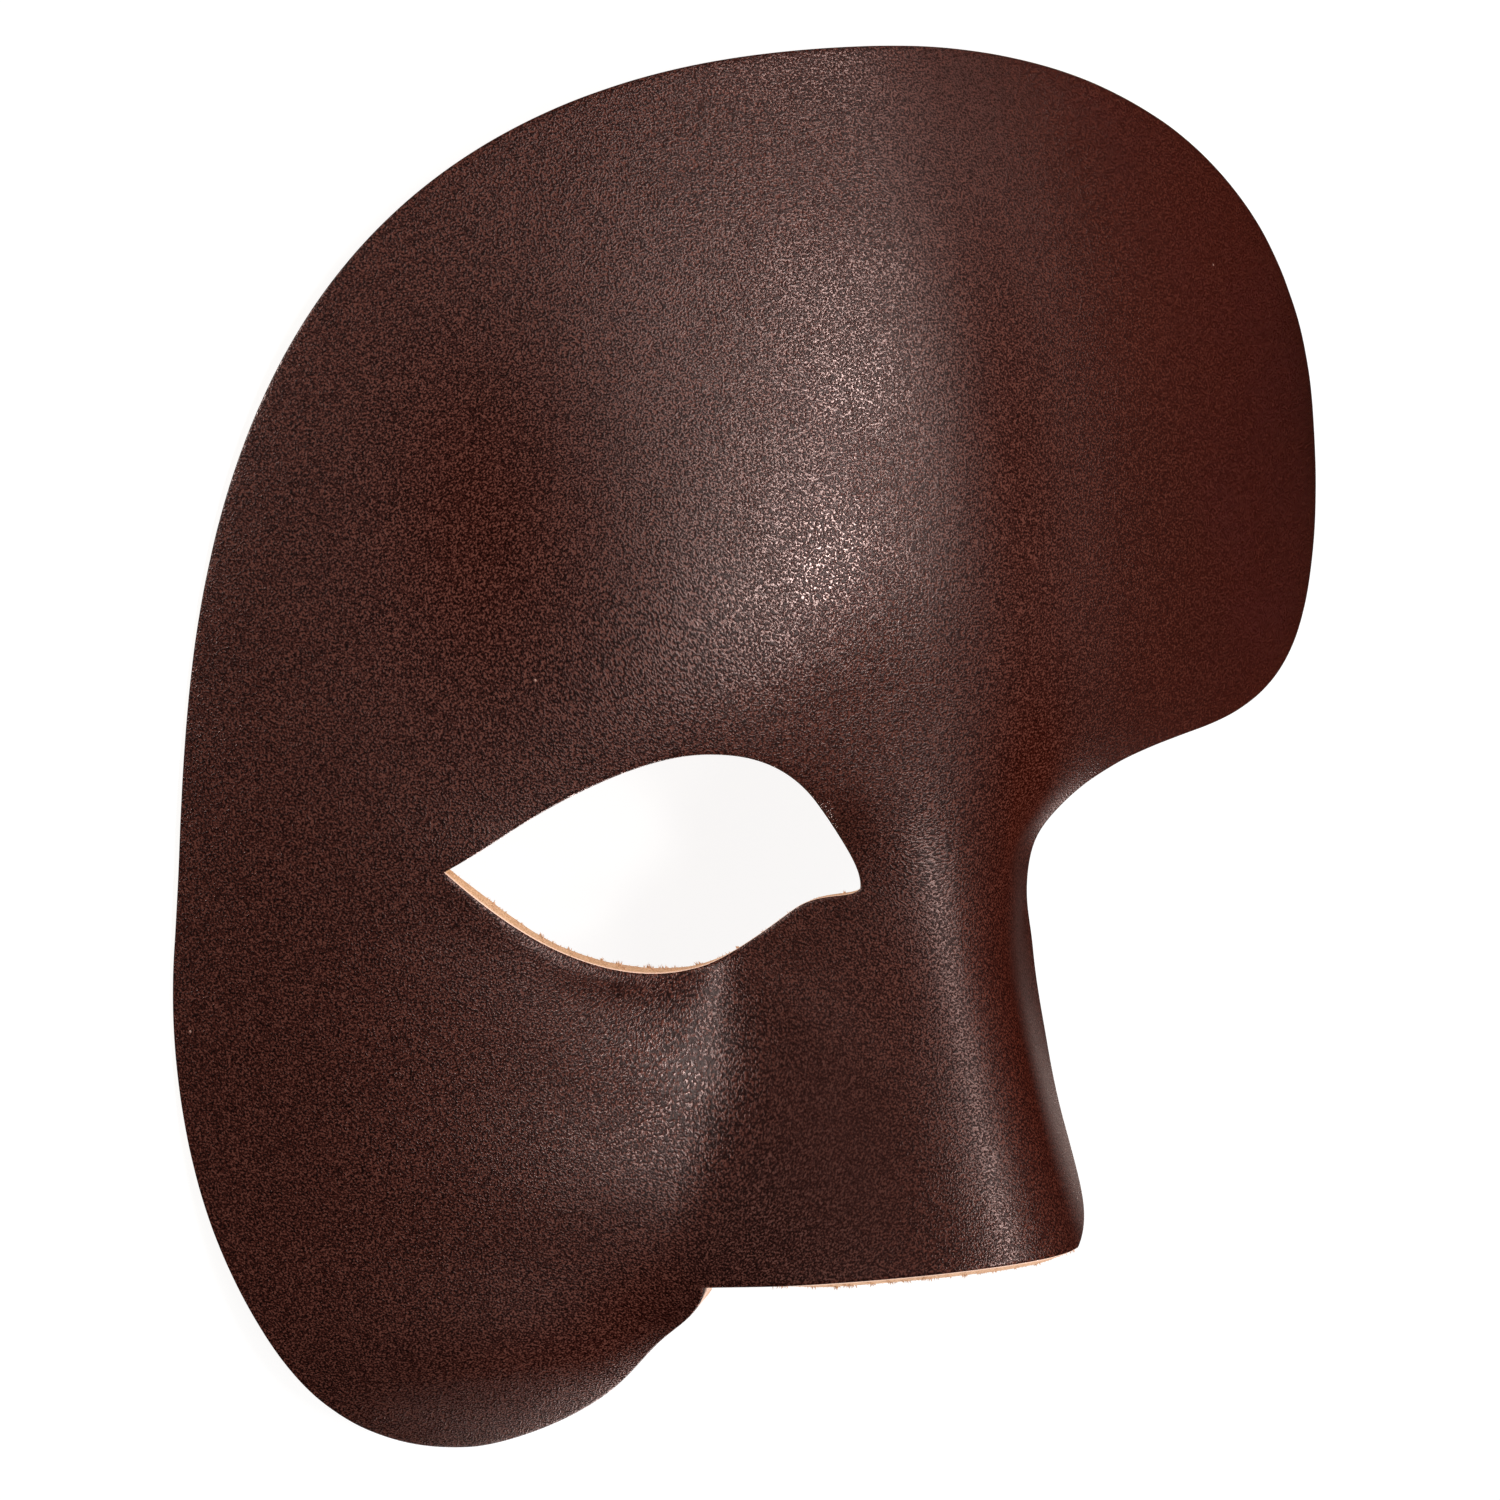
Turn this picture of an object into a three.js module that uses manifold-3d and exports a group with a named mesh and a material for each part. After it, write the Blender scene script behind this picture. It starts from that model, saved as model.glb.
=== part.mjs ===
// A half mask of thick moulded leather, lying on its rim with its face up.
// Millimetres and degrees. +X is the viewer's right, +Y the top of the forehead, +Z up.
// The form is worked out in the face's own frame (x right, y up the face, z out of it, from the
// bridge of the nose between the eyes), and then laid down.

import * as THREE from 'three';
import { mergeVertices } from 'three/addons/utils/BufferGeometryUtils.js';
import Module from 'manifold-3d';

// The leather, and how it lies: head tipped back and sideways until three places of its rim touch
const LEATHER = 2.8;
const TIPPED_BACK = 6.72;
const TIPPED_SIDEWAYS = 0.17;
// How much the rim is worn flat where it touches
const WORN_FLAT = 0.6;

// The head that the leather was moulded over, bowed from side to side
const HALF_WIDTH = 90;
const ROUNDNESS = 2.04;
const BOW_DEPTH = 64;
const BOW_DEPTH_RISE = 0.05;
// and from top to bottom, about its foremost level
const FOREMOST_LEVEL = 28;
const FOREHEAD_RADIUS = 115;
const FOREHEAD_ROLL = 1.26e-7;
const CHEEK_RADIUS = 180;

// Soft swellings and hollows of that head, the same on both sides of its midline
const SWELLINGS = {
  brow: { rise: 0.9, x: 25, y: 26, across: 20.5, up: 10, turn: -10 },
  forehead: { rise: 2.4, x: 0, y: 52.5, across: 21.5, up: 25, turn: 0 },
  temple: { rise: -2.1, x: 62.5, y: 36, across: 12, up: 23, turn: 11 },
  eyeSocket: { rise: -9.6, x: 29.5, y: -8, across: 11.9, up: 8.5, turn: 36 },
  underEye: { rise: 4.7, x: 39.8, y: -7.1, across: 11.3, up: 4.1, turn: 23 },
  underOuterCorner: { rise: -1.8, x: 43.7, y: -5.2, across: 7.8, up: 4, turn: 0 },
  underInnerCorner: { rise: -3.4, x: 21.3, y: -7.5, across: 4.5, up: 8.3, turn: 8 },
  innerCorner: { rise: -3, x: 15.9, y: -0.2, across: 4.5, up: 4, turn: 0 },
  cheek: { rise: 4.1, x: 36.1, y: -43.9, across: 18.7, up: 8.3, turn: 9 },
  jowl: { rise: 5.9, x: 42.2, y: -63.7, across: 20.2, up: 8.9, turn: 13 },
  besideNose: { rise: -1.49, x: 25.5, y: -30.3, across: 15.1, up: 28.6, turn: 35 },
};

// The nose, a ridge with a parabola for its section, blended into the face
const NOSE = {
  start: -6.19,
  slope: 0.488,
  bend: 0.0012,
  radius: 5.63,
  radiusGrowth: 0.128,
  leastRadius: 5,
  tipLevel: -49.2,
  tipFall: 0.16,
  blend: 10.7,
};

// The outer edge, anticlockwise from the cheek on the viewer's left. Each knot has a place, the
// heading of the edge as it arrives and as it leaves, and how far the curve keeps to that heading.
const OUTER_EDGE = [
  { at: [-83.4, -10.3], arrive: -90, leave: -90, before: 44.4, after: 37, eye: 0, steps: 16 },
  { at: [-45.9, -77.8], arrive: 3.7, leave: 3.7, before: 22.5, after: 4.3, eye: 0.45, steps: 9 },
  { at: [-28.8, -52.1], arrive: 90.4, leave: 20.9, before: 19.6, after: 21.1, eye: 0.7, steps: 13 },
  { at: [10.2, -45.7], arrive: -4.2, leave: 12, before: 11.5, after: 10, eye: 2, steps: 7 },
  { at: [20.5, -22], arrive: 90, leave: 90, before: 18.5, after: 7, eye: 2.5, steps: 4 },
  { at: [20.9, -8.5], arrive: 100, leave: 100, before: 7, after: 14.3, eye: 3, steps: 8 },
  { at: [42.6, 12.1], arrive: 6.4, leave: 6.4, before: 24.9, after: 20.1, eye: 4, steps: 11 },
  { at: [78.1, 49.1], arrive: 90, leave: 90, before: 29.6, after: 6.5, eye: 4.4, steps: 17 },
  { at: [2.5, 97.4], arrive: 180, leave: 180, before: 58.8, after: 89.2, eye: 5, steps: 27 },
];

// The eye opening, the same way round from its outer corner. The outer edge's eye values above
// count along these knots: 2.5 is halfway between the third knot and the fourth.
const EYE_EDGE = [
  { at: [-59.8, 0.7], arrive: 217.2, leave: -46.4, before: 21.1, after: 19.7 },
  { at: [-26.6, -13.5], arrive: 4.9, leave: 4.9, before: 6.9, after: 6.2 },
  { at: [-15.9, -5.6], arrive: 43.1, leave: 43.1, before: 2.7, after: 2.8 },
  { at: [-10.8, -3], arrive: 59.4, leave: 86.8, before: 1.6, after: 3.7 },
  { at: [-17.5, 8], arrive: 132.2, leave: 132.2, before: 3.8, after: 6.7 },
  { at: [-31.2, 14.8], arrive: 177.6, leave: 177.6, before: 4.9, after: 5.3 },
];

// Facets from the eye opening out to the edge
const RINGS = 17;

const radians = THREE.MathUtils.degToRad;

// A bell-shaped swelling with its own spread across and up, turned about its middle
function swelling(side, y, { rise, x, y: level, across, up, turn }) {
  const cos = Math.cos(radians(turn));
  const sin = Math.sin(radians(turn));
  const dx = side - x;
  const dy = y - level;
  const u = (cos * dx + sin * dy) / across;
  const v = (cos * dy - sin * dx) / up;
  return rise * Math.exp(-0.5 * (u * u + v * v));
}

// The head without its nose: bowed sideways, rolled back above and below, with its swellings
function headHeight(x, y) {
  const side = Math.abs(x);
  const bow = 1 - Math.sqrt(1 - Math.min(side / HALF_WIDTH, 0.995) ** ROUNDNESS);
  const above = y - FOREMOST_LEVEL;
  let height = -(BOW_DEPTH + BOW_DEPTH_RISE * y) * bow;
  height -= above > 0
    ? above ** 2 / (2 * FOREHEAD_RADIUS) + FOREHEAD_ROLL * above ** 4
    : above ** 2 / (2 * CHEEK_RADIUS);
  for (const shape of Object.values(SWELLINGS)) {
    height += swelling(side, y, shape);
  }
  return height;
}

// The nose's ridge line falls forward down the face, and below the tip it drops away
function noseHeight(x, y) {
  const radius = Math.max(NOSE.radius - NOSE.radiusGrowth * y, NOSE.leastRadius);
  const belowTip = Math.max(0, NOSE.tipLevel - y);
  const ridge = NOSE.start - NOSE.slope * y + NOSE.bend * y * y - NOSE.tipFall * belowTip ** 2;
  return ridge - (x * x) / (2 * radius);
}

// The grain side of the leather: the larger of head and nose, with a soft valley between them
function faceHeight(x, y) {
  const head = headHeight(x, y);
  const nose = noseHeight(x, y);
  return 0.5 * (head + nose + Math.hypot(nose - head, NOSE.blend));
}

function faceNormal(x, y) {
  const h = 0.02;
  const acrossSlope = (faceHeight(x + h, y) - faceHeight(x - h, y)) / (2 * h);
  const upSlope = (faceHeight(x, y + h) - faceHeight(x, y - h)) / (2 * h);
  return new THREE.Vector3(-acrossSlope, -upSlope, 1).normalize();
}

// The curve from one knot of an edge to the next
function stretch(edge, index) {
  const from = edge[index];
  const to = edge[(index + 1) % edge.length];
  const start = new THREE.Vector2(...from.at);
  const end = new THREE.Vector2(...to.at);
  const heading = (angle, reach) => new THREE.Vector2(reach, 0).rotateAround(
    new THREE.Vector2(), radians(angle));
  return new THREE.CubicBezierCurve(
    start,
    start.clone().add(heading(from.leave, from.after)),
    end.clone().sub(heading(to.arrive, to.before)),
    end,
  );
}

// Straight spokes from the eye opening to the outer edge, as pairs of points
function spokes() {
  const eyeStretches = EYE_EDGE.map((knot, index) => stretch(EYE_EDGE, index));
  const result = [];
  OUTER_EDGE.forEach((knot, index) => {
    const outer = stretch(OUTER_EDGE, index);
    const nextEye = index + 1 < OUTER_EDGE.length ? OUTER_EDGE[index + 1].eye : EYE_EDGE.length;
    for (let step = 0; step < knot.steps; step += 1) {
      const part = step / knot.steps;
      const along = knot.eye + (nextEye - knot.eye) * part;
      const eyeStretch = eyeStretches[Math.floor(along)];
      result.push([eyeStretch.getPoint(along % 1), outer.getPointAt(part)]);
    }
  });
  return result;
}

// Lays a point of the face's frame down
function lay(point) {
  point.applyAxisAngle(new THREE.Vector3(0, 1, 0), radians(TIPPED_SIDEWAYS));
  return point.applyAxisAngle(new THREE.Vector3(1, 0, 0), radians(-TIPPED_BACK));
}

// The moulded sheet: its grain side, its flesh side one thickness behind, and the two cut edges
function mouldedSheet() {
  const grain = [];
  const flesh = [];
  const pairs = spokes();
  for (const [eye, outer] of pairs) {
    for (let ring = 0; ring <= RINGS; ring += 1) {
      const { x, y } = eye.clone().lerp(outer, ring / RINGS);
      const point = new THREE.Vector3(x, y, faceHeight(x, y));
      flesh.push(lay(point.clone().addScaledVector(faceNormal(x, y), -LEATHER)));
      grain.push(lay(point));
    }
  }
  const across = RINGS + 1;
  const behind = grain.length;
  const triangles = [];
  const quad = (a, b, c, d) => triangles.push(a, b, c, a, c, d);
  for (let spoke = 0; spoke < pairs.length; spoke += 1) {
    const here = spoke * across;
    const next = ((spoke + 1) % pairs.length) * across;
    for (let ring = 0; ring < RINGS; ring += 1) {
      const [a, b, c, d] = [here + ring, here + ring + 1, next + ring + 1, next + ring];
      quad(a, b, c, d);
      quad(behind + d, behind + c, behind + b, behind + a);
    }
    quad(here, next, behind + next, behind + here);
    quad(here + RINGS, behind + here + RINGS, behind + next + RINGS, next + RINGS);
  }
  const geometry = new THREE.BufferGeometry().setFromPoints([...grain, ...flesh]);
  geometry.setIndex(triangles);
  return geometry;
}

// Trims the solid by the ground that its rim is worn flat on
const wasm = await Module();
wasm.setup();

function toManifold(geometry) {
  return new wasm.Manifold(new wasm.Mesh({
    numProp: 3,
    vertProperties: new Float32Array(geometry.getAttribute('position').array),
    triVerts: new Uint32Array(geometry.getIndex().array),
  }));
}

function fromManifold(solid) {
  const { vertProperties, triVerts } = solid.getMesh();
  const geometry = new THREE.BufferGeometry();
  geometry.setAttribute('position', new THREE.BufferAttribute(vertProperties, 3));
  geometry.setIndex(new THREE.BufferAttribute(triVerts, 1));
  return geometry;
}

// A block of ground whose upper face is level with zero
function ground(width, depth, thickness) {
  const box = new THREE.BoxGeometry(width, depth, thickness);
  box.deleteAttribute('normal');
  box.deleteAttribute('uv');
  return mergeVertices(box).translate(0, 0, -thickness / 2);
}

function makeMask() {
  const sheet = mouldedSheet();
  sheet.computeBoundingBox();
  const { min, max } = sheet.boundingBox;
  sheet.translate(-(min.x + max.x) / 2, -(min.y + max.y) / 2, -min.z - WORN_FLAT);
  const floor = ground(2 * (max.x - min.x), 2 * (max.y - min.y), 10 * WORN_FLAT);
  const trimmed = fromManifold(toManifold(sheet).subtract(toManifold(floor)));
  trimmed.computeVertexNormals();
  const leather = new THREE.MeshStandardMaterial({ color: '#472b26', roughness: 0.5, metalness: 0 });
  const mask = new THREE.Mesh(trimmed, leather);
  mask.name = 'mask';
  return mask;
}

const part = new THREE.Group();
part.add(makeMask());

export default part;
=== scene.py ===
# %% [markdown]
# # A half mask of moulded leather, lying on its rim
#
# The real mask is one sheet of thick vegetable-tanned leather. Its maker soaks the sheet, presses
# it over a carved form, lets it dry hard, cuts the outline and the eye opening with a knife, and
# then dyes and polishes the grain side. The cut edges and the flesh side are left raw.
#
# So there is one shape to make: a sheet that follows a face, with a smooth pebbled side, a furry
# side and a wall of raw leather between them. It is worked out with formulas, not sculpted,
# because every later step, such as the grain and the frayed fibres, can then ask the same formulas
# where the surface is.

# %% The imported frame
import math

import bpy
import numpy as np
from mathutils import Matrix, Vector


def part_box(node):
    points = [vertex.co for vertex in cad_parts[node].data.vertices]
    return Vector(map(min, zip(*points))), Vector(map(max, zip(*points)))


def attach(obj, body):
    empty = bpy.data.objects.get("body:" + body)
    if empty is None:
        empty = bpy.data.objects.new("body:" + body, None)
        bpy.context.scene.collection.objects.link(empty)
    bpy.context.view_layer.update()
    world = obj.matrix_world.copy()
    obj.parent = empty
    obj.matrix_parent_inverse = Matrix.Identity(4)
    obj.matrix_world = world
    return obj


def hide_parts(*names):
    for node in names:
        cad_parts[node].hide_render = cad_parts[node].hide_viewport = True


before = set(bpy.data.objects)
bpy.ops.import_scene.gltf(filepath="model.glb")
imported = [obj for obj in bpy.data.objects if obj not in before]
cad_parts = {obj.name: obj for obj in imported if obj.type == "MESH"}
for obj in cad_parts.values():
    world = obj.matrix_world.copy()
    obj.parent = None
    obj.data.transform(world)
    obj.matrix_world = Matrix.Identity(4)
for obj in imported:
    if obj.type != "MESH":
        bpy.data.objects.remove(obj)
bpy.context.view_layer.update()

print("nodes in the frame:", sorted(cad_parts))

# %% [markdown]
# ## The form that the leather was pressed over
#
# A sculptor would start from a head and pull the nose out of it. A formula can do the same: the
# head is a superellipse from side to side, rolled back above and below, with a few soft
# bell-shaped swellings for the brow, the eye socket and the cheek. The nose is a ridge with a
# parabola for its section. The larger of the two is the face, and a smooth maximum leaves the
# soft valley that wet leather makes between them.
#
# Everything here is in millimetres in the face's own frame: x to the viewer's right, y up the
# face and z out of it, from the bridge of the nose between the eyes.

# %% The head
HALF_WIDTH = 90
ROUNDNESS = 2.04
BOW_DEPTH = 64
BOW_DEPTH_RISE = 0.05
FOREMOST_LEVEL = 28
FOREHEAD_RADIUS = 115
FOREHEAD_ROLL = 1.26e-7
CHEEK_RADIUS = 180

# rise, place across, place up, spread across, spread up, turn in degrees
SWELLINGS = {
    "brow": (0.9, 25, 26, 20.5, 10, -10),
    "forehead": (2.4, 0, 52.5, 21.5, 25, 0),
    "temple": (-2.1, 62.5, 36, 12, 23, 11),
    "eye socket": (-9.6, 29.5, -8, 11.9, 8.5, 36),
    "under the eye": (4.7, 39.8, -7.1, 11.3, 4.1, 23),
    "under the outer corner": (-1.8, 43.7, -5.2, 7.8, 4, 0),
    "under the inner corner": (-3.4, 21.3, -7.5, 4.5, 8.3, 8),
    "inner corner": (-3, 15.9, -0.2, 4.5, 4, 0),
    "cheek": (4.1, 36.1, -43.9, 18.7, 8.3, 9),
    "jowl": (5.9, 42.2, -63.7, 20.2, 8.9, 13),
    "beside the nose": (-1.49, 25.5, -30.3, 15.1, 28.6, 35),
}


def bell(x, y, rise, across, up, spread_across, spread_up, turn):
    """A bell-shaped swelling: its rise times e to minus half the squared distance from its
    middle, with the distance counted in its own spreads along its own turned axes."""
    cos, sin = math.cos(math.radians(turn)), math.sin(math.radians(turn))
    dx, dy = x - across, y - up
    u = (cos * dx + sin * dy) / spread_across
    v = (cos * dy - sin * dx) / spread_up
    return rise * np.exp(-0.5 * (u * u + v * v))


def head_height(x, y):
    """The head without its nose: a superellipse's bow from side to side, less a parabola (with
    a fourth-power roll above) for how it leans back above and below, plus the swellings."""
    side = np.abs(x)
    bow = 1 - np.sqrt(1 - np.minimum(side / HALF_WIDTH, 0.995) ** ROUNDNESS)
    above = y - FOREMOST_LEVEL
    roll_up = above ** 2 / (2 * FOREHEAD_RADIUS) + FOREHEAD_ROLL * above ** 4
    roll_down = above ** 2 / (2 * CHEEK_RADIUS)
    height = -(BOW_DEPTH + BOW_DEPTH_RISE * y) * bow - np.where(above > 0, roll_up, roll_down)
    for swelling in SWELLINGS.values():
        height = height + bell(side, y, *swelling)
    return height


# %% The nose, and the face
def nose_height(x, y):
    """The nose: a ridge line that comes forward down the face and drops away below the tip,
    less a parabola across it, whose radius grows towards the tip."""
    radius = np.maximum(5.63 - 0.128 * y, 5)
    below_tip = np.maximum(0, -49.2 - y)
    ridge = -6.19 - 0.488 * y + 0.0012 * y * y - 0.16 * below_tip ** 2
    return ridge - x * x / (2 * radius)


def face_height(x, y):
    """The larger of head and nose, rounded off where they meet: half their sum plus half the
    length of their difference and a blend of 10.7 mm at right angles."""
    head, nose = head_height(x, y), nose_height(x, y)
    return 0.5 * (head + nose + np.hypot(nose - head, 10.7))


def face_normal(x, y, h=0.02):
    """The direction out of the surface, from the slopes between points a little to each side."""
    across = (face_height(x + h, y) - face_height(x - h, y)) / (2 * h)
    up = (face_height(x, y + h) - face_height(x, y - h)) / (2 * h)
    normal = np.stack([-across, -up, np.ones_like(across)], axis=-1)
    return normal / np.linalg.norm(normal, axis=-1, keepdims=True)


print("the nose stands", round(float(face_height(0.0, -44.0) - head_height(28.0, -44.0)), 1),
      "mm out of the cheek")

# %% [markdown]
# ## The knife's path
#
# The maker cuts two closed lines: the outline and the eye opening. Each is a chain of Bézier
# curves through a few knots, which is what a designer would draw in a vector program. A knot
# keeps its place, the heading of the edge as it arrives and as it leaves, and how far the
# curve holds to each heading.
#
# Straight spokes join the eye opening to the outline, so the whole sheet is one grid that goes
# round the eye, and both cuts are rows of that grid.

# %% The two cut lines
# place, heading on arrival, heading on leaving, reach before, reach after
OUTER_EDGE = [
    ((-83.4, -10.3), -90, -90, 44.4, 37),
    ((-45.9, -77.8), 3.7, 3.7, 22.5, 4.3),
    ((-28.8, -52.1), 90.4, 20.9, 19.6, 21.1),
    ((10.2, -45.7), -4.2, 12, 11.5, 10),
    ((20.5, -22), 90, 90, 18.5, 7),
    ((20.9, -8.5), 100, 100, 7, 14.3),
    ((42.6, 12.1), 6.4, 6.4, 24.9, 20.1),
    ((78.1, 49.1), 90, 90, 29.6, 6.5),
    ((2.5, 97.4), 180, 180, 58.8, 89.2),
]
EYE_EDGE = [
    ((-59.8, 0.7), 217.2, -46.4, 21.1, 19.7),
    ((-26.6, -13.5), 4.9, 4.9, 6.9, 6.2),
    ((-15.9, -5.6), 43.1, 43.1, 2.7, 2.8),
    ((-10.8, -3), 59.4, 86.8, 1.6, 3.7),
    ((-17.5, 8), 132.2, 132.2, 3.8, 6.7),
    ((-31.2, 14.8), 177.6, 177.6, 4.9, 5.3),
]
# Where each knot's spoke starts, counted along the eye's knots, and how many spokes follow it
SPOKE_STARTS = [0, 0.45, 0.7, 2, 2.5, 3, 4, 4.4, 5, 6]
SPOKES = [80, 45, 65, 35, 20, 40, 55, 85, 135]


def stretch(edge, index, t):
    """The Bézier curve from one knot to the next: four control points, weighted by the
    Bernstein cubics of t."""
    (start, _, leaving, _, after) = edge[index % len(edge)]
    (end, arriving, _, before, _) = edge[(index + 1) % len(edge)]
    leave = np.array([math.cos(math.radians(leaving)), math.sin(math.radians(leaving))])
    arrive = np.array([math.cos(math.radians(arriving)), math.sin(math.radians(arriving))])
    p0, p3 = np.array(start, float), np.array(end, float)
    p1, p2 = p0 + after * leave, p3 - before * arrive
    t = np.asarray(t)[:, None]
    return (1 - t) ** 3 * p0 + 3 * (1 - t) ** 2 * t * p1 + 3 * (1 - t) * t ** 2 * p2 + t ** 3 * p3


def evenly(edge, index, count):
    """Points of a stretch that are evenly spaced along its length: the running length of a fine
    polyline is inverted at equal steps."""
    fine = np.linspace(0, 1, 400)
    points = stretch(edge, index, fine)
    run = np.concatenate([[0], np.cumsum(np.hypot(*np.diff(points, axis=0).T))])
    return stretch(edge, index, np.interp(np.arange(count) / count * run[-1], run, fine))


# %% The spokes between them
def spokes():
    """Both ends of every spoke: even steps along the outline, and for each the matching place
    along the eye's own knots."""
    eye_ends, outer_ends = [], []
    for index, count in enumerate(SPOKES):
        outer_ends.append(evenly(OUTER_EDGE, index, count))
        first, last = SPOKE_STARTS[index], SPOKE_STARTS[index + 1]
        along = first + (last - first) * np.arange(count) / count
        whole = np.minimum(np.floor(along).astype(int), len(EYE_EDGE) - 1)
        points = np.zeros((count, 2))
        for knot in np.unique(whole):
            here = whole == knot
            points[here] = stretch(EYE_EDGE, knot, along[here] - knot)
        eye_ends.append(points)
    return np.concatenate(eye_ends), np.concatenate(outer_ends)


eye_ends, outer_ends = spokes()
print(len(eye_ends), "spokes; the outline is",
      round(float(np.hypot(*(outer_ends - np.roll(outer_ends, 1, 0)).T).sum())), "mm round")

# %% [markdown]
# ## Laying it down
#
# A mask stands on nothing, so it lies face up on its rim. Tipped back 6.7 degrees and sideways
# a little, three places of the rim touch the ground, and there they are worn flat.

# %% From the face's frame to the ground
TIPPED_BACK = 6.72
TIPPED_SIDEWAYS = 0.17
MM = 0.001

tip = Matrix.Rotation(math.radians(-TIPPED_BACK), 3, "X") @ Matrix.Rotation(
    math.radians(TIPPED_SIDEWAYS), 3, "Y")
TIP = np.array(tip)


def turned(vectors):
    """Directions or places turned by the two tips, one after the other."""
    return vectors @ TIP.T


# %% [markdown]
# ## The leather's own unevenness
#
# Moulding leaves low dents and swells that only show in the highlights. Sums of a few dozen
# long cosine waves in random directions look like that and have no grid to give them away. The
# random numbers come from a seeded generator, so the sheet is the same each time.

# %% Low relief of the sheet
THICKNESS = 2.8
# rise, place across, place up, spread across, spread up, turn in degrees
NOSE_GROOVE = (-0.5, 12.5, -32, 4, 16, -5)
ROLLED_STRETCH = (1.0, -45, -12, 10, 6, 0)
ROLL_WIDTH = 1.8
ROLL_DROP = 0.4


def waves(x, y, length, seed, count=40):
    """Random swell: the mean of cosines whose wavelengths lie within a third of `length`, in
    all directions, scaled so that its typical size is 1."""
    draw = np.random.default_rng(seed)
    heading = draw.uniform(0, 2 * np.pi, count)
    number = 2 * np.pi / (length * draw.uniform(0.75, 1.35, count))
    phase = draw.uniform(0, 2 * np.pi, count)
    total = np.zeros_like(x)
    for angle, k, start in zip(heading, number, phase):
        total = total + np.cos(k * (np.cos(angle) * x + np.sin(angle) * y) + start)
    return total / math.sqrt(count / 2)


def grain_relief(x, y):
    """How far the grain side stands proud of the form, in mm: swells of 22 and 7 mm, and a
    shallow groove along the nose's far side."""
    return 0.03 * waves(x, y, 22, 1) + 0.008 * waves(x, y, 7, 2) + bell(x, y, *NOSE_GROOVE)


def rolled_rim(x, y, from_cut):
    """How far the skin rolls over at the eye's lower rim, in mm: a parabola that starts a roll's
    width from the cut, in a bell-shaped stretch of the rim."""
    reach = np.maximum(0, ROLL_WIDTH - from_cut)
    return ROLL_DROP * bell(x, y, *ROLLED_STRETCH) * reach ** 2 / ROLL_WIDTH


def flesh_relief(x, y):
    """The flesh side is looser: swells of 9 and 3.5 mm."""
    return 0.06 * waves(x, y, 9, 4) + 0.03 * waves(x, y, 3.5, 5)


print("typical relief along the eye", grain_relief(*eye_ends.T).std().round(3), "mm")

# %% [markdown]
# ## The section through the sheet
#
# Walk once round the leather's section: over the grain side from the eye to the outline, round
# a rolled corner, down the cut wall, and back along the flesh side. Each stop on this walk
# is a row of the grid, given by three numbers: how far it is from each cut, and how deep.
# Because the walk closes on itself, and the spokes close round the eye, the mesh is one
# closed surface with no seam.

# %% Stops on the walk round the section
GRAIN_ROWS = 108
FLESH_ROWS = 44
GRAIN_CORNER = 0.45
FLESH_CORNER = 0.3


def quarter(radius, count):
    """Stops on a quarter circle, as distance from the cut and depth below the surface."""
    angle = np.linspace(0, np.pi / 2, count + 1)[1:]
    return radius * (1 - np.sin(angle)), radius * (1 - np.cos(angle))


def section():
    """The closed walk as arrays: share of the way from eye to outline, distance in from the eye
    cut, distance in from the outer cut, and depth."""
    share, from_eye, from_outer, depth = [], [], [], []

    def stops(a, b, c, d):
        a, b, c, d = np.broadcast_arrays(a, b, c, d)
        for kept, new in zip((share, from_eye, from_outer, depth), (a, b, c, d)):
            kept.append(new)

    inset, drop = quarter(GRAIN_CORNER, 3)
    foot_inset, foot_drop = quarter(FLESH_CORNER, 2)
    wall = np.linspace(GRAIN_CORNER, THICKNESS - FLESH_CORNER, 6)[1:]
    over = np.linspace(0, 1, GRAIN_ROWS)
    back = np.linspace(1, 0, FLESH_ROWS)
    stops(over, GRAIN_CORNER * (1 - over), GRAIN_CORNER * over, 0.0)
    stops(1.0, 0.0, inset, drop)
    stops(1.0, 0.0, 0.0, wall)
    stops(1.0, 0.0, foot_inset[::-1][1:], THICKNESS - foot_drop[::-1][1:])
    stops(back, FLESH_CORNER * (1 - back), FLESH_CORNER * back, THICKNESS)
    stops(0.0, foot_inset[:-1], 0.0, THICKNESS - foot_drop[:-1])
    stops(0.0, 0.0, 0.0, wall[::-1])
    stops(0.0, inset[::-1], 0.0, drop[::-1])
    return [np.concatenate(part) for part in (share, from_eye, from_outer, depth)]


share, from_eye, from_outer, depth = section()
print(len(share), "stops on the walk round the section")

# %% The grid of places
# How deep each side's relief reaches into the wall
RELIEF_FADE = 1.2


def speed(at):
    """How many millimetres of surface one whole spoke's share covers, near one of its ends."""
    step = 0.004
    flat = [eye_ends + (outer_ends - eye_ends) * s for s in (at, at + step * (1 - 2 * at))]
    solid = [np.column_stack([p, face_height(*p.T)]) for p in flat]
    return np.linalg.norm(solid[1] - solid[0], axis=1) / step


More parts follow.
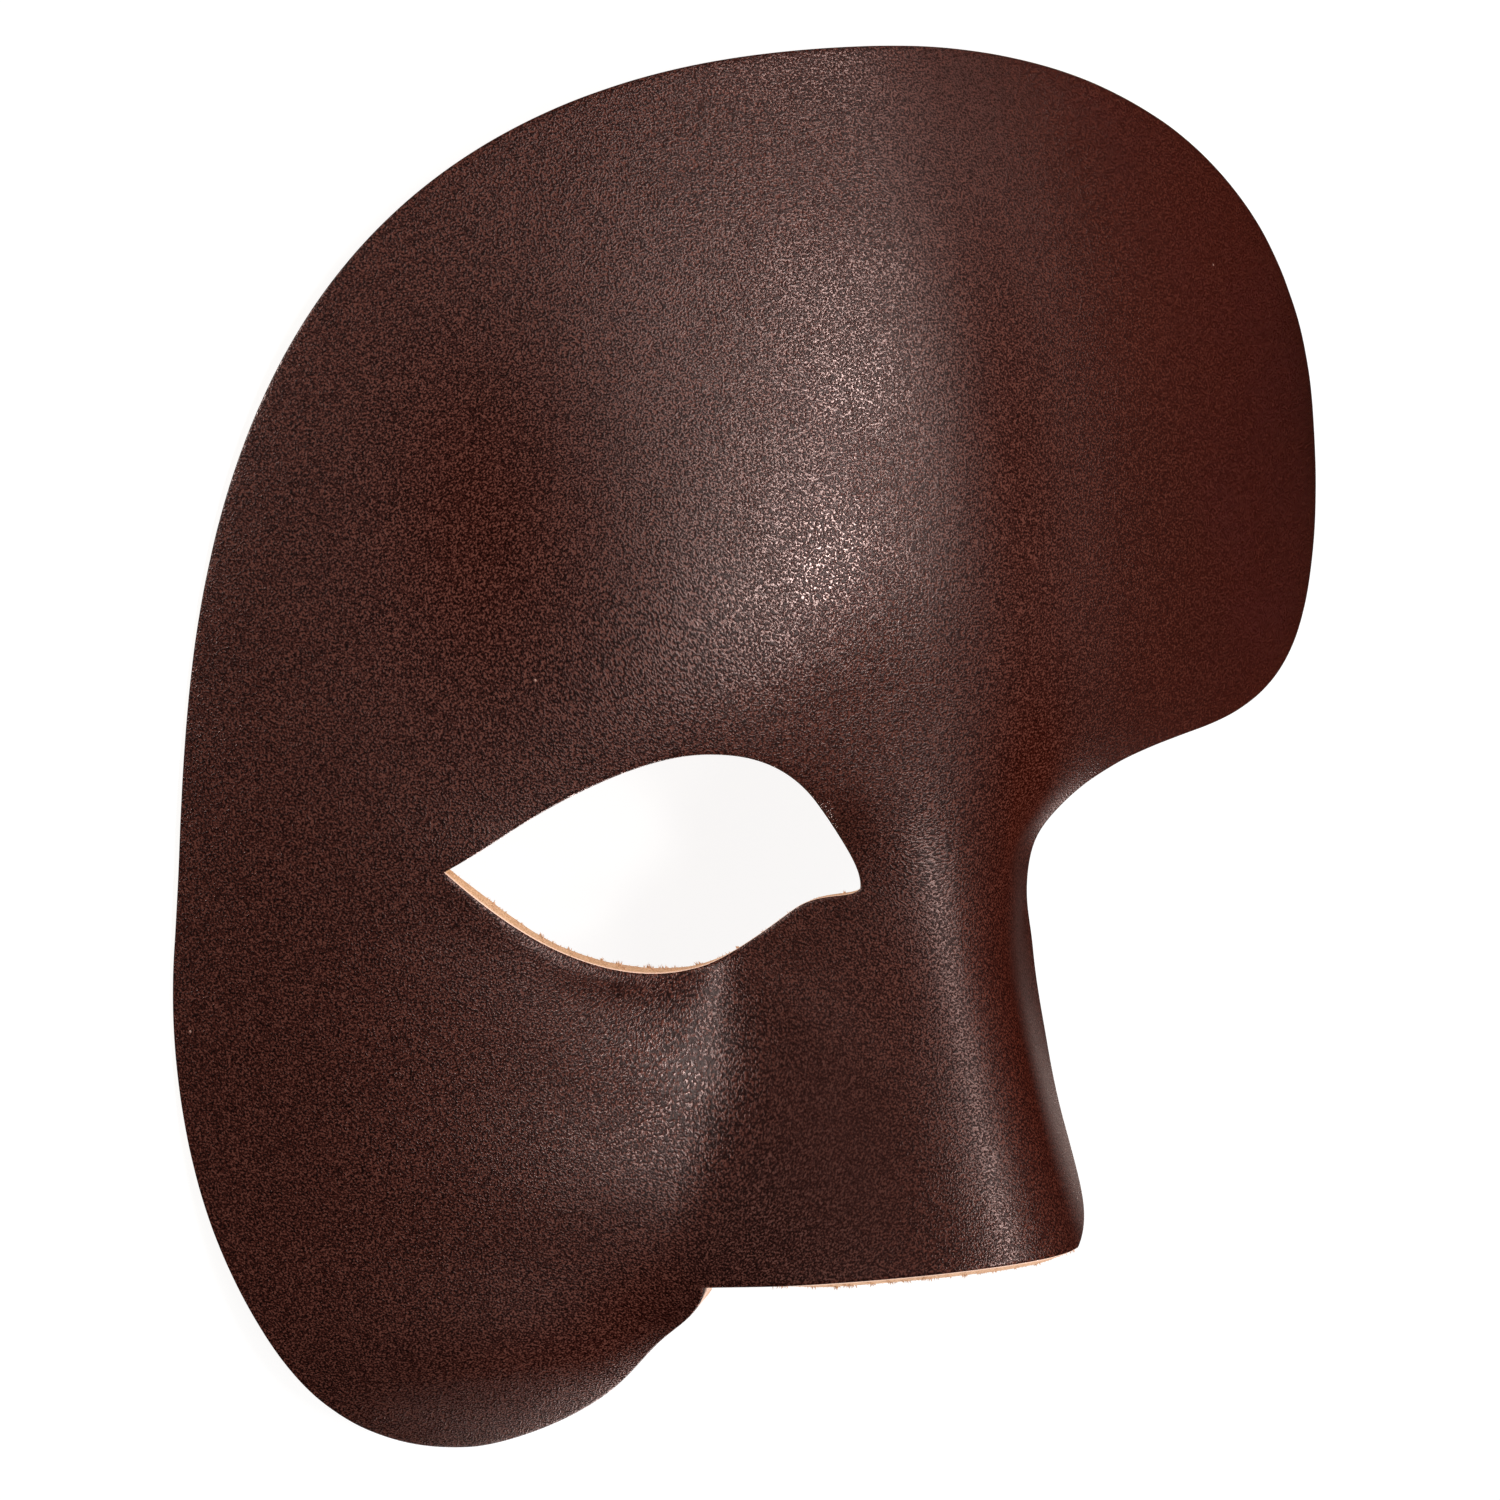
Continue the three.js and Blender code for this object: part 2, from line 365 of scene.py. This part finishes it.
def places():
    """Every point of the sheet in the face's frame, and its plain (x, y): the spoke's point at
    its share, moved in from the cuts, then dropped below the surface along the normal."""
    eye_shift = from_eye[None, :] / speed(0)[:, None]
    outer_shift = from_outer[None, :] / speed(1)[:, None]
    along = (share[None, :] + eye_shift - outer_shift)[..., None]
    flat = eye_ends[:, None] * (1 - along) + outer_ends[:, None] * along
    x, y = flat[..., 0], flat[..., 1]
    near_grain = np.clip(1 - depth / RELIEF_FADE, 0, 1)
    near_flesh = np.clip(1 - (THICKNESS - depth) / RELIEF_FADE, 0, 1)
    from_cut = along[..., 0] * speed(0)[:, None]
    proud = grain_relief(x, y) - rolled_rim(x, y, from_cut)
    rise = near_grain * proud - near_flesh * flesh_relief(x, y) - depth
    points = np.stack([x, y, face_height(x, y)], axis=-1)
    return points + rise[..., None] * face_normal(x, y), x, y


points, flat_x, flat_y = places()
laid = turned(points)

# %% Down on the ground
# The sheet's box is set on the CAD node's box, and what is left below the ground is worn off
low, high = (np.array(corner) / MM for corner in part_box("mask"))
WORN_FLAT = 0.6
shift = np.array([
    (low[0] + high[0] - laid[..., 0].min() - laid[..., 0].max()) / 2,
    (low[1] + high[1] - laid[..., 1].min() - laid[..., 1].max()) / 2,
    -laid[..., 2].min() - WORN_FLAT,
])
laid = laid + shift
laid[..., 2] = np.maximum(laid[..., 2], 0)
print("moved by", shift.round(3), "mm")
print("box", laid.reshape(-1, 3).min(0).round(2), laid.reshape(-1, 3).max(0).round(2), "mm")

# %% [markdown]
# ## Faces
#
# A grid that closes in both directions needs no special cases: the neighbour of the last row is
# the first. The same helper makes every new mesh, so it also carries the numbers that the
# materials read.

# %% A mesh from a grid
def ring_faces(rows, columns):
    """Quads of a grid that closes both ways, with their corners anticlockwise from outside."""
    row, column = np.meshgrid(np.arange(rows), np.arange(columns), indexing="ij")
    next_row, next_column = (row + 1) % rows, (column + 1) % columns
    corners = [(row, column), (row, next_column), (next_row, next_column), (next_row, column)]
    return np.stack([r * columns + c for r, c in corners], axis=-1).reshape(-1, 4)


def make_piece(name, vertices, faces, materials, material_of=None, numbers=()):
    """A smooth-shaded mesh object at the origin, with one value per vertex for each of
    `numbers`, a dictionary of names and arrays."""
    mesh = bpy.data.meshes.new(name)
    mesh.from_pydata(vertices.reshape(-1, 3).tolist(), [], faces.tolist())
    mesh.polygons.foreach_set("use_smooth", np.ones(len(faces), bool))
    for material in materials:
        mesh.materials.append(material)
    if material_of is not None:
        mesh.polygons.foreach_set("material_index", material_of.astype(np.int32).ravel())
    for label, values in dict(numbers).items():
        vector = values.ndim == 3
        kind = "FLOAT_VECTOR" if vector else "FLOAT"
        layer = mesh.attributes.new(label, kind, "POINT")
        layer.data.foreach_set("vector" if vector else "value", values.astype(np.float32).ravel())
    mesh.update()
    piece = bpy.data.objects.new(name, mesh)
    bpy.context.collection.objects.link(piece)
    return piece


# %% [markdown]
# ## Materials
#
# Leather has three faces here. The grain side is covered in pebbles about half a millimetre
# wide, with furrows between them and polished tops; the furrows are painted darker as shade and
# the tops paler as a highlight. The cut wall is raw, paler just under the dyed skin. The flesh
# side is a short suede nap.
#
# A pattern on plain object coordinates would ignore the moulding, so the mesh carries where each
# point lay before it was pressed: around the cheek the skin was drawn out, and there the pebbles
# are larger and longer.

# %% A helper that adds a node
def put(tree, kind, inputs=(), **settings):
    """Adds a node. `inputs` gives each socket, by name or number, a value or another node's
    output, and the settings are the node's own."""
    node = tree.nodes.new(kind)
    for name, value in settings.items():
        setattr(node, name, value)
    for socket, value in dict(inputs).items():
        if isinstance(value, bpy.types.NodeSocket):
            tree.links.new(value, node.inputs[socket])
        else:
            node.inputs[socket].default_value = value
    return node


def fresh(name):
    """A new node material: its tree and its main shader."""
    material = bpy.data.materials.new(name)
    material.use_nodes = True
    return material, material.node_tree, material.node_tree.nodes["Principled BSDF"]


def number(tree, label):
    """The value that the mesh carries under a name."""
    return put(tree, "ShaderNodeAttribute", attribute_name=label).outputs["Fac"]


def ramp(tree, value, start, end, low=0.0, high=1.0):
    """A smooth step from low to high while the value goes from start to end."""
    return put(tree, "ShaderNodeMapRange", {
        "Value": value, "From Min": start, "From Max": end, "To Min": low, "To Max": high,
    }, interpolation_type="SMOOTHSTEP").outputs["Result"]


def sums(tree, operation, first, second):
    """One sum or product of two numbers."""
    return put(tree, "ShaderNodeMath", {0: first, 1: second}, operation=operation).outputs[0]


def mixed(tree, share, first, second, blend="MIX"):
    """Two colours mixed."""
    return put(tree, "ShaderNodeMix", {0: share, 6: first, 7: second},
               data_type="RGBA", blend_type=blend).outputs[2]


def noise(tree, place, scale, detail=2.0, roughness=0.5):
    """Soft noise with `scale` features to the millimetre."""
    return put(tree, "ShaderNodeTexNoise", {
        "Vector": place, "Scale": scale, "Detail": detail, "Roughness": roughness})


# %% Colours of the finishes
# Linear red, green and blue, and a 1 for opaque
DYE_DEEP = (0.047, 0.0110, 0.0070, 1)
DYE_THIN = (0.054, 0.0125, 0.0080, 1)
# Painted shade: the dark colour laid into the furrows and cracks between the pebbles
FURROW_SHADE = (0.0055, 0.0006, 0.0003, 1)
# Painted highlight: the pale colour of pebble tops that catch the light
PAINTED_TOP_GLINT = (0.126, 0.053, 0.039, 1)
RED_SHADE_TINT = (1.0, 0.62, 0.45, 1)
FLECK = (0.42, 0.30, 0.25, 1)
# Painted reflection: the tint of the sheen laid along the nose's far rim
RIM_SHEEN_TINT = (0.9, 0.88, 0.85, 1)
RAW_TAN, RAW_LIGHT = (0.56, 0.39, 0.22, 1), (0.84, 0.65, 0.42, 1)
UNDER_SKIN = (0.95, 0.80, 0.66, 1)
SKIN = (0.02, 0.007, 0.005, 1)
LOOSE_FIBRE = (0.72, 0.50, 0.31, 1)
NAP_DARK, NAP_LIGHT = (0.33, 0.165, 0.085, 1), (0.52, 0.29, 0.165, 1)
NAP_CLOUD = (0.25, 0.12, 0.065, 1)

# %% The polished grain side
# Features to the millimetre
PEBBLES = 4.0
WIDE_CRACKS = 1.3
FLECKS = 0.16
# Metres from furrow to top, then roughness and gloss in a furrow and on a top
GRAIN_HEIGHT = 4.5e-5
ROUGHNESS = (0.40, 0.26)
GLOSS = (0.35, 0.8)


def polished_grain():
    """Pebbles with furrows between them, and a net of wider cracks where the skin was drawn out.
    A furrow is duller than the tops and painted darker as shade, and the higher tops are painted
    paler as a highlight, so the grain shows in highlight and in shade."""
    material, tree, shader = fresh("polished_grain")
    place = put(tree, "ShaderNodeAttribute", attribute_name="grain_place").outputs["Vector"]
    depth_here = number(tree, "grain_depth")
    lumps = noise(tree, place, PEBBLES, 1.0)
    grain = ramp(tree, lumps.outputs["Fac"], 0.28, 0.66)
    bend = put(tree, "ShaderNodeVectorMath", {
        0: lumps.outputs["Color"], 1: (0.25, 0.25, 0.25), 2: place,
    }, operation="MULTIPLY_ADD").outputs[0]
    plates = put(tree, "ShaderNodeTexVoronoi", {"Vector": bend, "Scale": WIDE_CRACKS},
                 feature="DISTANCE_TO_EDGE").outputs["Distance"]
    cracks = ramp(tree, plates, 0.0, 0.13, 1.0, 0.0)
    cracks = sums(tree, "MULTIPLY", cracks, number(tree, "cracked"))
    pits = sums(tree, "MULTIPLY", sums(tree, "SUBTRACT", 1.0, grain), depth_here)
    top = sums(tree, "MULTIPLY", sums(tree, "SUBTRACT", 1.0, pits),
               sums(tree, "SUBTRACT", 1.0, cracks))
    bump = put(tree, "ShaderNodeBump", {"Height": top, "Strength": 1.0, "Distance": GRAIN_HEIGHT})
    tree.links.new(bump.outputs[0], shader.inputs["Normal"])

    mottle = noise(tree, place, 0.035, 3.0).outputs["Fac"]
    dyed = mixed(tree, ramp(tree, mottle, 0.3, 0.7), DYE_DEEP, DYE_THIN)
    # Painted shade: furrows and cracks are mixed towards the dark furrow colour
    colour = mixed(tree, top, FURROW_SHADE, dyed)
    # Painted highlight: the highest pebble tops are mixed towards a pale colour, as if catching
    # light
    painted_glint = sums(tree, "MULTIPLY", ramp(tree, lumps.outputs["Fac"], 0.52, 0.66), depth_here)
    colour = mixed(tree, sums(tree, "MULTIPLY", painted_glint, 0.8), colour, PAINTED_TOP_GLINT)
    # Darker and redder over the far half of the face; the band along the nose's far side is painted
    # shade
    redder_and_shaded = sums(tree, "MULTIPLY", number(tree, "redder_and_shaded"), 0.6)
    colour = mixed(tree, redder_and_shaded, colour, RED_SHADE_TINT, "MULTIPLY")
    fleck = put(tree, "ShaderNodeTexVoronoi", {"Vector": place, "Scale": FLECKS}, feature="F1")
    chance = put(tree, "ShaderNodeSeparateColor", {0: fleck.outputs["Color"]}).outputs[0]
    spot = sums(tree, "MULTIPLY", ramp(tree, fleck.outputs["Distance"], 0.018, 0.03, 1.0, 0.0),
                ramp(tree, chance, 0.86, 0.87))
    colour = mixed(tree, spot, colour, FLECK)
    tree.links.new(colour, shader.inputs["Base Color"])

    dull = sums(tree, "MULTIPLY", number(tree, "dull"), 0.14)
    rough = sums(tree, "ADD", ramp(tree, top, 0.1, 0.9, *ROUGHNESS), dull)
    tree.links.new(rough, shader.inputs["Roughness"])
    gloss = sums(tree, "MULTIPLY", ramp(tree, top, 0.1, 0.9, *GLOSS),
                 ramp(tree, number(tree, "dull"), 0.0, 2.0, 1.0, 0.0))
    tree.links.new(gloss, shader.inputs["Specular IOR Level"])
    # Painted reflection: a sheen laid along the nose's far rim stands in for the grazing reflection
    # there
    tree.links.new(number(tree, "rim_sheen"), shader.inputs["Sheen Weight"])
    shader.inputs["Sheen Roughness"].default_value = 0.3
    shader.inputs["Sheen Tint"].default_value = RIM_SHEEN_TINT
    return material


# %% The raw cut edge and the flesh side
def raw_edge():
    """Tan layers, palest just under the skin, which shows as a dark line; all of it fibrous."""
    material, tree, shader = fresh("raw_cut_edge")
    place = put(tree, "ShaderNodeAttribute", attribute_name="grain_place").outputs["Vector"]
    layers = number(tree, "layers")
    fibres = noise(tree, place, 4.0, 3.0, 0.6).outputs["Fac"]
    tan = mixed(tree, ramp(tree, fibres, 0.3, 0.7), RAW_TAN, RAW_LIGHT)
    pale = mixed(tree, ramp(tree, layers, 0.10, 0.26, 1.0, 0.0), tan, UNDER_SKIN)
    skin = mixed(tree, ramp(tree, layers, 0.03, 0.09, 1.0, 0.0), pale, SKIN)
    tree.links.new(skin, shader.inputs["Base Color"])
    shader.inputs["Roughness"].default_value = 0.85
    bump = put(tree, "ShaderNodeBump", {"Height": fibres, "Strength": 1.0, "Distance": 1.5e-4})
    tree.links.new(bump.outputs[0], shader.inputs["Normal"])
    return material


def loose_fibre():
    """Plain tan for the single fibres."""
    material, tree, shader = fresh("loose_fibre")
    shader.inputs["Base Color"].default_value = LOOSE_FIBRE
    shader.inputs["Roughness"].default_value = 0.8
    return material


def suede_back():
    """A short nap, lighter on its tips, with darker clouds where hands have pressed it."""
    material, tree, shader = fresh("suede_flesh_side")
    place = put(tree, "ShaderNodeAttribute", attribute_name="grain_place").outputs["Vector"]
    nap = noise(tree, place, 3.5, 4.0, 0.65).outputs["Fac"]
    clouds = noise(tree, place, 0.06, 3.0).outputs["Fac"]
    tan = mixed(tree, ramp(tree, nap, 0.3, 0.7), NAP_DARK, NAP_LIGHT)
    tan = mixed(tree, ramp(tree, clouds, 0.35, 0.7, 0.0, 0.5), tan, NAP_CLOUD)
    tree.links.new(tan, shader.inputs["Base Color"])
    shader.inputs["Roughness"].default_value = 0.9
    shader.inputs["Sheen Weight"].default_value = 0.3
    shader.inputs["Sheen Roughness"].default_value = 0.5
    bump = put(tree, "ShaderNodeBump", {"Height": nap, "Strength": 1.0, "Distance": 1.2e-4})
    tree.links.new(bump.outputs[0], shader.inputs["Normal"])
    return material


# %% [markdown]
# ## The sheet
#
# Now the mesh is made, with the numbers that the materials ask for.

# %% Numbers for the materials
def drawn_out(x, y, centre, spreads, heading, share):
    """Moves places together along a heading, in a bell-shaped zone, by a share of how far they
    are from its middle. The grain drawn there comes out longer along that heading."""
    cos, sin = math.cos(math.radians(heading)), math.sin(math.radians(heading))
    along = cos * (x - centre[0]) + sin * (y - centre[1])
    pull = bell(x, y, share, *centre, *spreads, heading) * along
    return x - cos * pull, y - sin * pull


def unpressed(x, y, z):
    """Where a point lay before moulding. The skin was drawn out upwards and a little sideways
    beside the cheek, slantwise at the lower forehead, and sideways in creases at the nose's root."""
    x, y = drawn_out(x, y, (-28, -26), (17, 9), 90, 0.5)
    x, y = drawn_out(x, y, (-28, -26), (9, 17), 0, 0.25)
    x, y = drawn_out(x, y, (-37, 27), (16, 12), -62, 0.45)
    x, y = drawn_out(x, y, (-4, 1), (6, 4), 0, 0.6)
    return np.stack([x, y, z], axis=-1)


# Where the polish is rubbed off, or kept best where it is below 0: how much, place across,
# place up, spread across, spread up
RUBBED = {
    "along the nose": (0.4, 0, -26, 7, 16),
    "lobe": (1.5, -45, -69, 14, 10),
    "inner edge of the lobe": (1.2, -32, -54, 7, 8),
    "near side of the nose": (0.8, -18, -32, 6, 16),
    "edge above the nose": (1.5, 14, 5, 7, 12),
    "ridge of the forehead": (-0.9, -15, 46, 9, 30),
    "near temple": (1.6, -56, 42, 12, 26),
    "far half of the forehead": (1.5, 7, 46, 9, 30),
    "far side of the nose": (1.0, 9, -28, 3, 18),
    "tip of the nose": (-0.6, -1, -42, 5, 5),
    "beside the bridge": (0.9, -8, -13, 4, 10),
    "cheek": (-0.6, -36, -23, 7, 8),
}

# Bells, as above: the cracked cheek, the painted shade band along the nose's far side and the
# painted rim sheen of the nose, its smooth near side, and where the cut wall is coloured as dark as
# the skin in the corner between the cheek and the nose
CRACKED = (0.8, -29, -24, 9, 15, 0)
# Painted shade: the darker, redder band along the nose's far side
NOSE_SHADE_BAND = (1.4, 8, -24, 4, 18, 0)
# Painted reflection: where the rim sheen lies along the nose's far side
RIM_SHEEN_BAND = (0.8, 17, -38, 7, 12, 0)
SMOOTH_SIDE = (0.4, -16, -32, 5, 12, 0)
# Where the cut wall is coloured as dark as the skin, in the corner between the cheek and the nose
DARK_WALL_AT_NOTCH = (1.0, -27, -51, 4, 4, 0)

columns, rows = flat_x.shape
towards_far_side = np.clip((flat_x + 15) / 75, 0, 1)
numbers = {
    "grain_place": unpressed(flat_x, flat_y, points[..., 2]),
    "grain_depth": (1 - 0.5 * towards_far_side ** 2 * (3 - 2 * towards_far_side)
                    - bell(flat_x, flat_y, *SMOOTH_SIDE)),
    "cracked": 0.1 + bell(flat_x, flat_y, *CRACKED),
    "dull": sum(bell(flat_x, flat_y, *patch, 0) for patch in RUBBED.values()),
    "redder_and_shaded": np.clip((flat_x + 5) / 60, 0, 1) + bell(flat_x, flat_y, *NOSE_SHADE_BAND),
    "rim_sheen": np.clip((flat_x - 9) / 6, 0, 1) * bell(flat_x, flat_y, *RIM_SHEEN_BAND),
    "layers": depth / THICKNESS * (1 - bell(flat_x, flat_y, *DARK_WALL_AT_NOTCH)),
}

# %% Make it
grain, edge, flesh = polished_grain(), raw_edge(), suede_back()
row_depth = (depth + np.roll(depth, -1)) / 2
row_kind = np.where(row_depth < GRAIN_CORNER * 0.7, 0, np.where(row_depth < THICKNESS - 0.02, 1, 2))
kinds = np.broadcast_to(row_kind[None, :], (columns, rows))
sheet = make_piece("moulded_leather", laid * MM, ring_faces(columns, rows)[:, ::-1],
                   [grain, edge, flesh], kinds, numbers)
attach(sheet, "root")
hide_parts("mask")
print(len(sheet.data.polygons) * 2, "triangles in the sheet, faced with",
      [material.name for material in (grain, edge, flesh)])

# %% [markdown]
# ## The frayed edge
#
# A knife leaves loose fibres on the flesh side of a cut. Each is a thin three-sided spike that
# leans out from the wall. They stand in tufts, thickest along the lower rim of the eye and under
# the nose, where the photograph shows them.

# %% Fibres
def edge_frame(ends, others):
    """Along one cut: its points on the grain side, the normals there, and the directions that
    point out of the wall, at right angles to both the normal and the edge."""
    top = np.column_stack([ends, face_height(*ends.T)])
    normal = face_normal(*ends.T)
    along = np.roll(top, -1, axis=0) - np.roll(top, 1, axis=0)
    out = np.cross(along, normal)
    out /= np.linalg.norm(out, axis=1, keepdims=True)
    side = np.sign(((ends - others) * out[:, :2]).sum(axis=1))
    return top, normal, out * side[:, None], np.linalg.norm(along, axis=1) / 2


FIBRES_PER_MM = 26
FIBRE_LENGTH = (0.12, 0.42)
FIBRE_WIDTH = (0.04, 0.11)
# Where they stand thickest: place across, place up, spread across, spread up, turn in degrees
EYE_FRAY = (-42, -10, 22, 9, -12)
NOSE_FRAY = (-2, -46, 16, 5, 0)


def fibres(ends, others, thick_at, seed):
    """Spikes along one cut. Tufts come from a wave along the edge, and the number of spikes
    follows a bell round the place `thick_at`, over a few everywhere."""
    draw = np.random.default_rng(seed)
    top, normal, out, pace = edge_frame(ends, others)
    run = np.cumsum(pace)
    tuft = 0.5 + 0.5 * np.sin(run * 2.9 + 1.3 * np.sin(run * 1.7)) * np.sin(run * 1.3 + 0.4)
    thick = 0.12 + bell(*ends.T, 1.0, *thick_at)
    chance = pace * thick * (0.1 + 1.6 * tuft ** 5)
    count = int(FIBRES_PER_MM * chance.sum())
    at = draw.choice(len(ends), count, p=chance / chance.sum())
    slide = draw.uniform(0, 1, (count, 1))
    after = (at + 1) % len(ends)
    foot = top[at] * (1 - slide) + top[after] * slide
    deep = THICKNESS * (1 - 0.75 * draw.uniform(0, 1, (count, 1)) ** 1.7)
    lean = draw.normal(0, 0.5, (count, 3)) + out[at] * 1.2 - normal[at] * 0.35
    lean /= np.linalg.norm(lean, axis=1, keepdims=True)
    long = draw.uniform(*FIBRE_LENGTH, (count, 1)) * (0.3 + 1.1 * tuft[at][:, None] ** 2)
    foot = foot - normal[at] * deep - out[at] * 0.1
    wide = draw.uniform(*FIBRE_WIDTH, (count, 1))
    across = np.cross(lean, normal[at])
    across /= np.linalg.norm(across, axis=1, keepdims=True)
    third = np.cross(lean, across)
    corners = [foot + wide * (math.cos(a) * across + math.sin(a) * third)
               for a in np.radians([90, 210, 330])]
    return np.stack([*corners, foot + lean * (long + 0.1)], axis=1)


tufts = np.concatenate([
    fibres(eye_ends, outer_ends, EYE_FRAY, 6),
    fibres(outer_ends, eye_ends, NOSE_FRAY, 7),
])
spikes = turned(tufts) + shift
spikes[..., 2] = np.maximum(spikes[..., 2], 0.02)
first = 4 * np.arange(len(spikes))[:, None, None]
corner_order = np.array([[0, 1, 3], [1, 2, 3], [2, 0, 3], [0, 2, 1]])
fray = make_piece("edge_fibres", spikes * MM, (first + corner_order).reshape(-1, 3), [loose_fibre()])
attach(fray, "root")
print(len(spikes), "fibres")

# %% [markdown]
# ## Camera
#
# The camera looks down on the lying mask from the direction that the photograph was taken from,
# measured in the face's own frame, and it is turned with the mask.

# %% The camera
CAMERA_AZIMUTH = -30.2
CAMERA_ELEVATION = 9.9
CAMERA_ROLL = 0.8
CAMERA_DISTANCE = 620
PIXELS_PER_MM = 8.25
FACE_ORIGIN_PIXEL = (952, 862)
PICTURE_SIDE = 1500


def camera_axes():
    """The camera's right, up and back directions in the face's frame: back from its azimuth and
    elevation, right and up at right angles, rolled about back."""
    az, el, roll = (math.radians(v) for v in (CAMERA_AZIMUTH, CAMERA_ELEVATION, CAMERA_ROLL))
    back = np.array([math.sin(az) * math.cos(el), math.sin(el), math.cos(az) * math.cos(el)])
    right = np.cross([0, 1, 0], back)
    right /= np.linalg.norm(right)
    up = np.cross(back, right)
    return (math.cos(roll) * right + math.sin(roll) * up,
            math.cos(roll) * up - math.sin(roll) * right, back)


right, up, back = camera_axes()
half = PICTURE_SIDE / 2
aim = ((half - FACE_ORIGIN_PIXEL[0]) * right + (FACE_ORIGIN_PIXEL[1] - half) * up) / PIXELS_PER_MM
stand = turned(aim + CAMERA_DISTANCE * back) + shift
turn = Matrix([[float(turned(axis)[i]) for axis in (right, up, back)] for i in range(3)])

lens = bpy.data.cameras.new("camera")
lens.sensor_width = 36
lens.lens = 36 * PIXELS_PER_MM * CAMERA_DISTANCE / PICTURE_SIDE
lens.clip_start = 0.01
camera = bpy.data.objects.new("camera", lens)
camera.matrix_world = Matrix.Translation(Vector(stand * MM)) @ turn.to_4x4()
bpy.context.collection.objects.link(camera)
bpy.context.scene.camera = camera
print("camera at", (stand * MM).round(3), "lens", round(lens.lens, 1))

# %% [markdown]
# ## Light
#
# Satin leather shows its form through one long soft highlight. In the photograph it comes from a
# tall leaning light on the camera's right, built here as a row of soft boxes whose brightest is
# the lowest. There is only a little light from the left, and a faint rim along the nose's far
# side. All of it is warm. The air gives the even light in the shade, but no gloss.

# %% Soft boxes
CENTRE = np.array([0, 0, 0.03])


def from_camera(azimuth, elevation):
    """A direction given as the camera sees it: degrees to its right, and up."""
    az, el = math.radians(azimuth), math.radians(elevation)
    seen = (math.sin(az) * math.cos(el) * right + math.sin(el) * up
            + math.cos(az) * math.cos(el) * back)
    return turned(seen)


def soft_box(name, azimuth, elevation, lean, size, distance, power, colour=(1, 1, 1)):
    """A rectangular soft light that faces the mask, its long side leaning from the camera's up."""
    towards = from_camera(azimuth, elevation)
    upright = turned(math.cos(math.radians(lean)) * up + math.sin(math.radians(lean)) * right)
    across = np.cross(upright, towards)
    across /= np.linalg.norm(across)
    upright = np.cross(towards, across)
    light = bpy.data.lights.new(name, "AREA")
    light.shape = "RECTANGLE"
    light.size, light.size_y = size
    light.energy = power
    light.color = colour
    lamp = bpy.data.objects.new(name, light)
    turn = Matrix([[float(axis[i]) for axis in (across, upright, towards)] for i in range(3)])
    place = Vector(CENTRE + towards * distance)
    lamp.matrix_world = Matrix.Translation(place) @ turn.to_4x4()
    bpy.context.collection.objects.link(lamp)
    return lamp


WARM = (1, 0.79, 0.74)
# Degrees of lean, metres square and metres away
BOX_LEAN, BOX_SIDE, BOX_DISTANCE = 20, 0.4, 2.4
# azimuth and elevation seen from the camera, power in watts
BOXES = {
    "key_foot": (30, -20, 6.2), "key_low": (34, -5, 18.5), "key_inner": (30, 5, 3.6),
    "key_middle": (40, 18, 12.5), "key_high": (39, 31, 5.2), "key_side": (53, 34, 4.6),
    "key_top": (67, 58, 6.2), "left_fill": (-53, 12, 1.9), "low_fill": (20, -50, 0.9),
    "far_left": (-94, 22, 26), "rim_below": (157, -45, 38),
}
for name, (azimuth, elevation, power) in BOXES.items():
    soft_box(name, azimuth, elevation, BOX_LEAN, (BOX_SIDE, BOX_SIDE), BOX_DISTANCE, power, WARM)
print(len(BOXES), "soft boxes")

# %% The floor and the air
FLOOR_COLOUR = (0.17, 0.215, 0.23, 1)
FLOOR_GLOW = 0.87
FLOOR_HALF = 6.0


def plain_floor():
    """A near-white floor that mostly glows by itself, so that only a faint shadow lies on it."""
    material, tree, shader = fresh("pale_floor")
    shader.inputs["Base Color"].default_value = FLOOR_COLOUR
    shader.inputs["Roughness"].default_value = 0.9
    shader.inputs["Specular IOR Level"].default_value = 0.0
    shader.inputs["Emission Color"].default_value = (1, 1, 1, 1)
    shader.inputs["Emission Strength"].default_value = FLOOR_GLOW
    side = FLOOR_HALF
    corners = np.array([[-side, -side, 0], [side, -side, 0], [side, side, 0], [-side, side, 0]])
    floor = make_piece("floor", corners, np.array([[0, 1, 2, 3]]), [material])
    floor.visible_glossy = False
    floor.visible_diffuse = False
    floor.visible_shadow = False


plain_floor()
AIR_STRENGTH = 0.53
world = bpy.data.worlds.new("studio")
bpy.context.scene.world = world
world.use_nodes = True
world.node_tree.nodes["Background"].inputs["Color"].default_value = (*WARM, 1)
world.node_tree.nodes["Background"].inputs["Strength"].default_value = AIR_STRENGTH
world.cycles_visibility.glossy = False
bpy.context.scene.view_settings.view_transform = "Standard"
